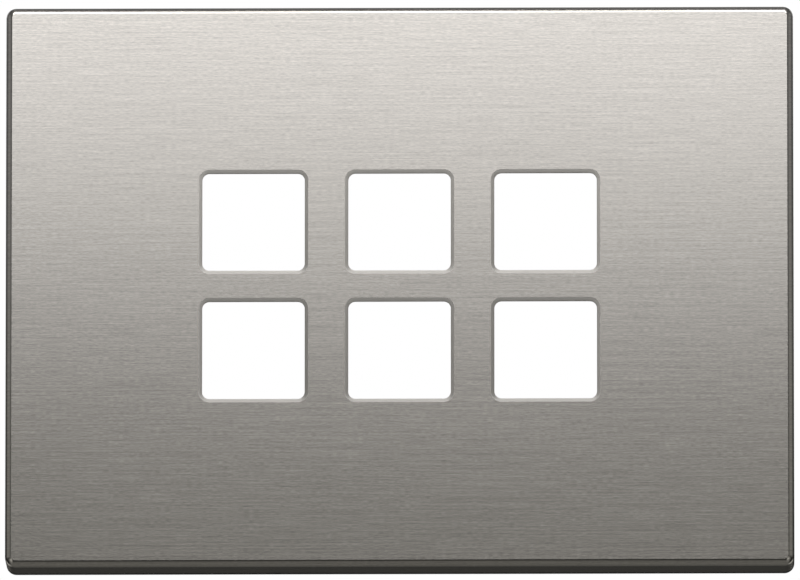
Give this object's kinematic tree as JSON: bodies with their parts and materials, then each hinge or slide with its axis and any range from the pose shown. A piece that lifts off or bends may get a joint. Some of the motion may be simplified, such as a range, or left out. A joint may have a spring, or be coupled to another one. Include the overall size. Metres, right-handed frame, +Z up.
{
  "type": "grid switch plate",
  "caption": "Screwless rectangular cover plate for wall switches: a brushed metal skin with rounded square openings in a grid, on a moulded carrier that snaps onto a wall support.",
  "frame": {"origin": "middle of the wall plane, where the back of the carrier's rim meets the wall", "axes": "+X to the right along the long side, +Y into the wall, +Z up the wall; the front faces -Y"},
  "size_m": [0.1214, 0.009, 0.0872],
  "materials": {
    "brushed_metal": "fine brushing along the long side, satin",
    "black_moulding": "fine moulded texture, matt"
  },
  "bodies": {
    "root": {"front_skin": "brushed_metal", "clip_carrier": "black_moulding"}
  },
  "joints": []
}
